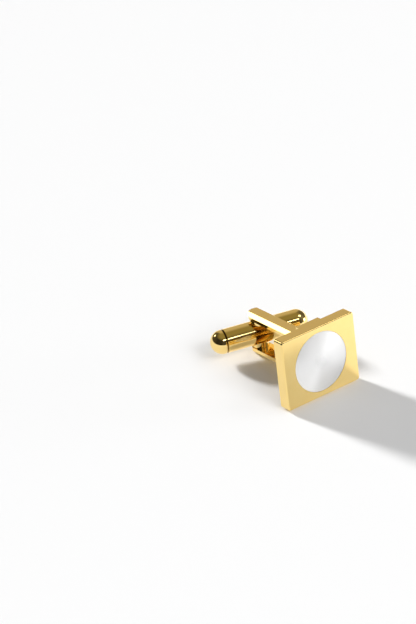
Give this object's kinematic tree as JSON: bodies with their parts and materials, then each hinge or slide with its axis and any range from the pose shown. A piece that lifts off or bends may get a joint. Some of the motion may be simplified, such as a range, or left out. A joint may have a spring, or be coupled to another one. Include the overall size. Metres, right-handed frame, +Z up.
{
  "type": "cufflink",
  "caption": "Rectangular cufflink with a round satin inlay, whose polished toggle swivels between two arms to pass a buttonhole and lock behind the cuff.",
  "frame": {"origin": "on the table, under the middle of the cufflink's box as it leans at rest", "axes": "+Z up, +X across the face to the right as seen from the front, +Y backwards from the face along the arms"},
  "size_m": [0.0182, 0.0226, 0.0137],
  "materials": {
    "gold_plate": "polished gold plate on brass",
    "satin_white_metal": "circular satin, white metal",
    "steel": "plain spring steel"
  },
  "bodies": {
    "face_and_arms": {"face_frame": "gold_plate", "inlay_disc": "satin_white_metal", "bridge_bar": "gold_plate", "upper_arm": "gold_plate", "lower_arm": "gold_plate", "pivot_pin": "steel"},
    "toggle": {"toggle_body": "gold_plate", "toggle_end_cap": "gold_plate", "detent_plunger": "steel", "detent_spring": "steel"}
  },
  "joints": [
    {"name": "toggle_swivel", "type": "hinge", "parent": "face_and_arms", "child": "toggle", "pos_m": [0.00007, 0.00725, 0.0042], "axis": [0, 0.1633, 0.9866], "range_deg": [-75, 105]}
  ]
}
